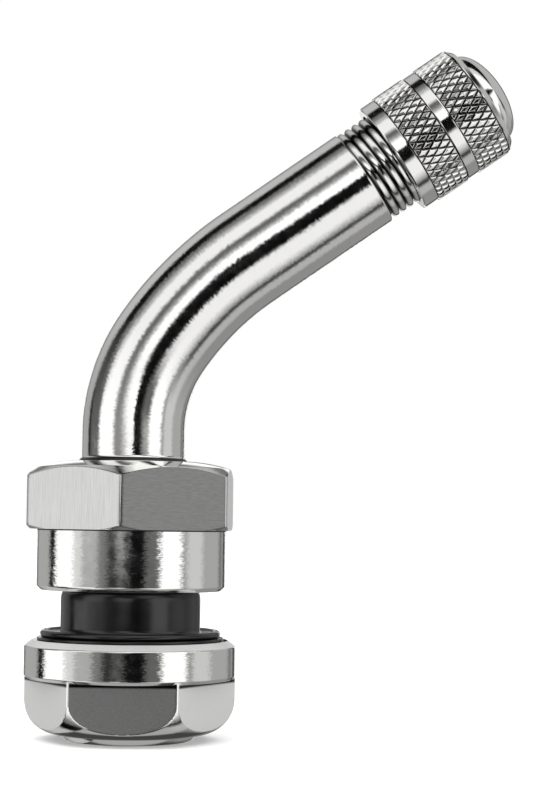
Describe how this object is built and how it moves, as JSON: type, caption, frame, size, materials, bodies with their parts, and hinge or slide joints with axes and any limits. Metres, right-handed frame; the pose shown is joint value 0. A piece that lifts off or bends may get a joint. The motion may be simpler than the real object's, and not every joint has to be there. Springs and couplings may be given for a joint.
{
  "type": "tyre valve",
  "caption": "Bent metal clamp-in tyre valve with a flanged hex foot, rubber rim grommet, clamp nut, screwed-in valve core and knurled dust cap.",
  "frame": {"origin": "centre of the rim hole, in the plane of the rim's inner face, on top of the grommet's bead", "axes": "+Z along the base axis, out of the rim; +X towards the side the stem bends to"},
  "size_m": [0.0372, 0.0172, 0.0527],
  "materials": {
    "polished_plating": "polished nickel plating on brass",
    "satin_plating": "satin nickel plating on brass",
    "black_rubber": "matte moulded",
    "core_brass": "turned",
    "seal_plastic": "moulded",
    "spring_steel": "drawn wire"
  },
  "bodies": {
    "stem_body": {"stem": "polished_plating", "foot": "satin_plating", "rim_grommet": "black_rubber", "core_plug": "core_brass", "core_barrel": "core_brass", "core_barrel_seal": "seal_plastic", "core_spring": "spring_steel"},
    "nut": {"clamp_nut": "polished_plating"},
    "cap_seat": {"cap_gasket": "black_rubber"},
    "cap": {"dust_cap": "polished_plating"},
    "pin": {"core_pin": "core_brass", "core_cup": "core_brass", "core_cup_seal": "black_rubber"}
  },
  "joints": [
    {"name": "nut_travel", "type": "slide", "parent": "stem_body", "child": "nut", "axis": [0, 0, 1], "range_m": [0, 0.002]},
    {"name": "cap_travel", "type": "slide", "parent": "stem_body", "child": "cap_seat", "axis": [0.8211, 0, 0.5707], "range_m": [0, 0.0078]},
    {"name": "cap_turn", "type": "hinge", "parent": "cap_seat", "child": "cap", "pos_m": [0.00861, 0, 0.02858], "axis": [0.8211, 0, 0.5707], "range_deg": [0, 4320]},
    {"name": "pin_press", "type": "slide", "parent": "stem_body", "child": "pin", "axis": [-0.8211, 0, -0.5707], "range_m": [0, 0.0011], "stiffness_N_per_m": 900, "springref_m": -0.001, "deforming": ["core_spring"]}
  ],
  "couplings": [
    {"joint": "cap_turn", "follows": "cap_travel", "rad_per_m": 9666.4}
  ]
}
